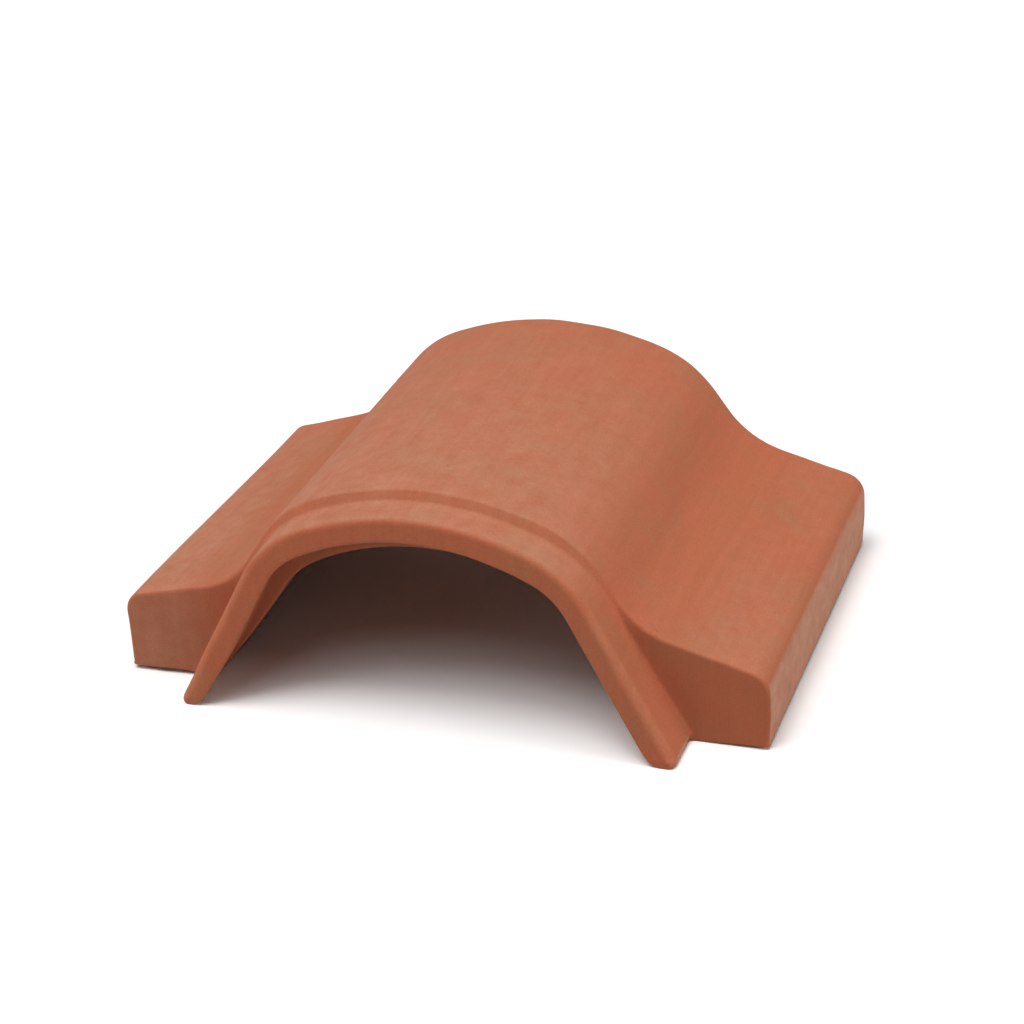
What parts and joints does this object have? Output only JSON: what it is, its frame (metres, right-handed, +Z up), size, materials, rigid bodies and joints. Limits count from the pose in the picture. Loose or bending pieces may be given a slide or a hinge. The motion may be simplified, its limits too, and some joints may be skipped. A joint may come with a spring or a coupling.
{
  "type": "ridge tile",
  "caption": "Fired clay ridge tile: a barrel arch with flat side wings, a stepped spigot at one end and a rebate for the next tile at the other.",
  "frame": {"origin": "on the floor, midway across the tile and midway along its overall length", "axes": "+Z up, X across the tile from wing to wing, +Y along the ridge from the spigot towards the rebated far end"},
  "size_m": [0.323, 0.2252, 0.114],
  "materials": {
    "terracotta": "matte unglazed fired clay"
  },
  "bodies": {
    "root": {"ridge_tile": "terracotta"}
  },
  "joints": []
}
